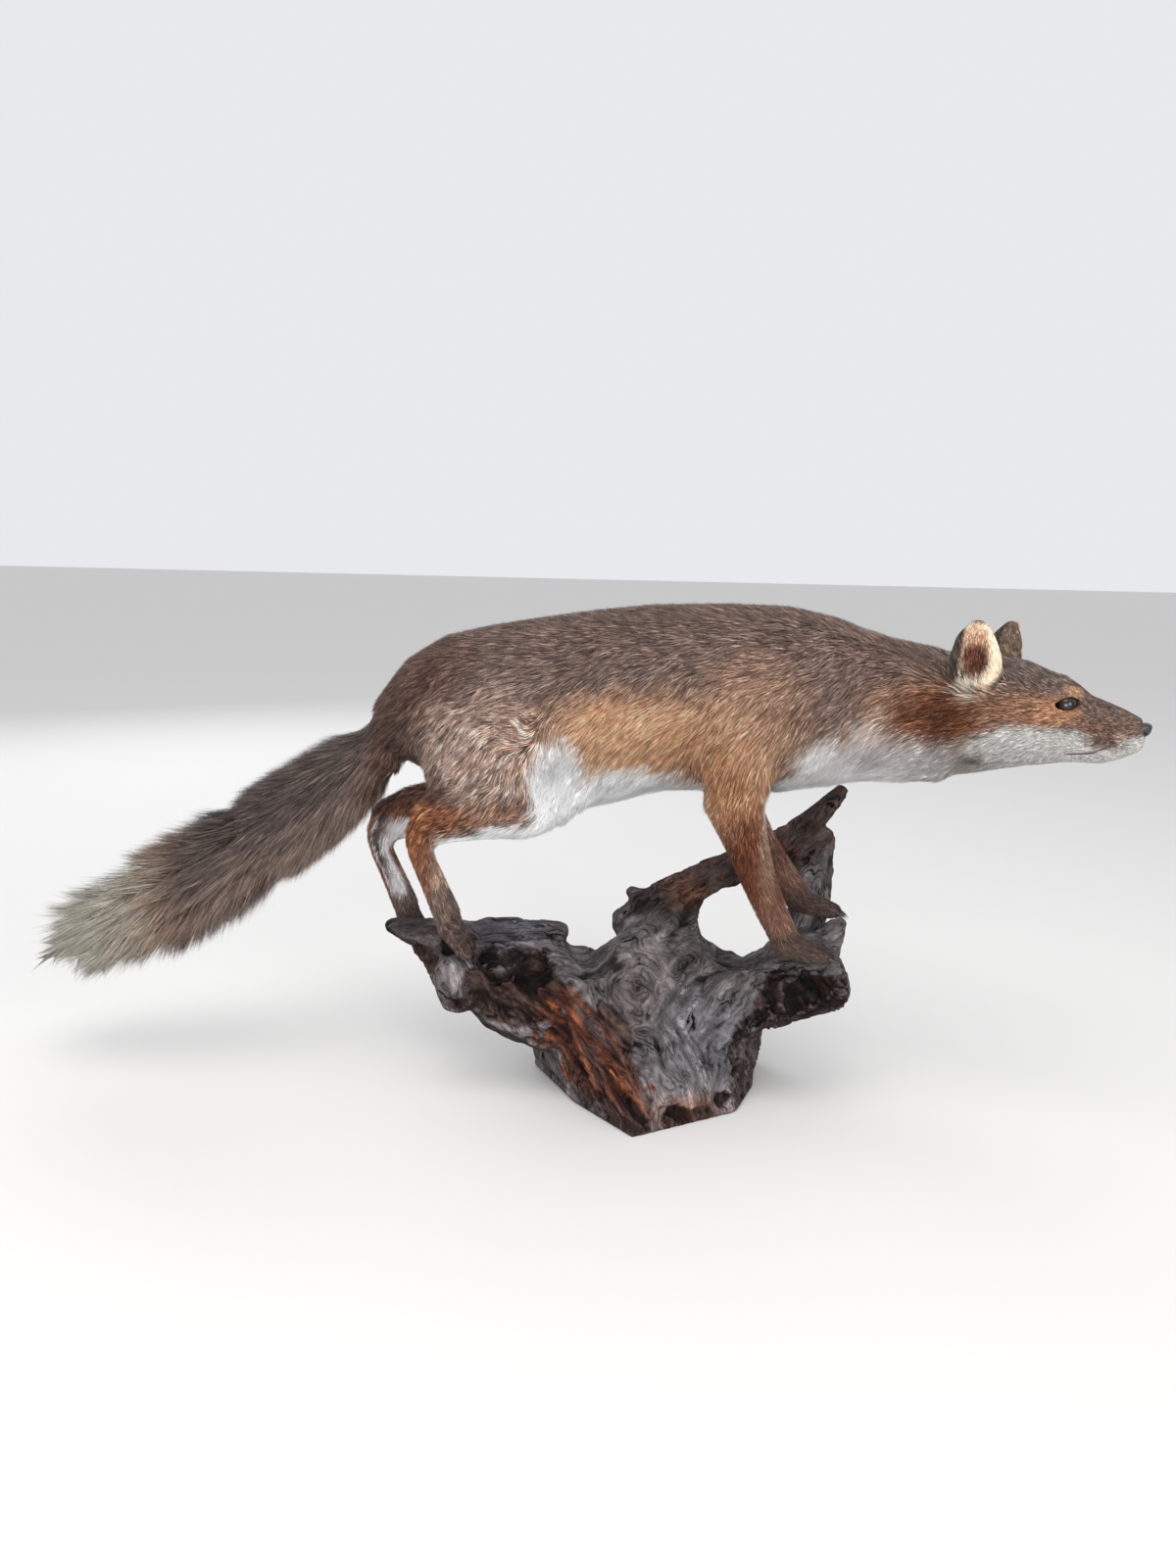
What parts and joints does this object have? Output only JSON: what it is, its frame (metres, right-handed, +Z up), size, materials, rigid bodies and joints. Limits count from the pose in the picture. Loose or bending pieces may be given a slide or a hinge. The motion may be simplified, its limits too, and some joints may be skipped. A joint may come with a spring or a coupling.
{
  "type": "taxidermy red fox",
  "caption": "Life-size stalking red fox, full mount, standing on a weathered tree root with its head turned and tail held low.",
  "frame": {"origin": "middle of the root's flat sawn foot, on the surface it stands on", "axes": "+X the way the fox faces, +Y to the fox's left, +Z up"},
  "size_m": [0.9754, 0.218, 0.4498],
  "materials": {
    "fur": "short matt fur, grizzled brown and rust",
    "ear_fur": "very short fur, dark behind and cream at the rim",
    "tail_fur": "long soft fur, dark brown to a pale tip",
    "eye": "polished dark glass",
    "nose": "pebbled, slightly glossy",
    "wood": "weathered grey with rust-brown broken faces"
  },
  "bodies": {
    "root": {"head": "fur", "lower_jaw": "fur", "neck": "fur", "trunk_chest": "fur", "trunk_loins": "fur", "trunk_rump": "fur", "fore_leg_right": "fur", "fore_leg_left": "fur", "fore_paw_right": "fur", "fore_paw_left": "fur", "thigh_right": "fur", "thigh_left": "fur", "shank_right": "fur", "shank_left": "fur", "hock_right": "fur", "hock_left": "fur", "hind_paw_right": "fur", "hind_paw_left": "fur", "tail_base": "tail_fur", "tail_middle": "tail_fur", "tail_tip": "tail_fur", "ear_right": "ear_fur", "ear_left": "ear_fur", "eye_right": "eye", "eye_left": "eye", "nose": "nose", "stand_root": "wood"}
  },
  "joints": []
}
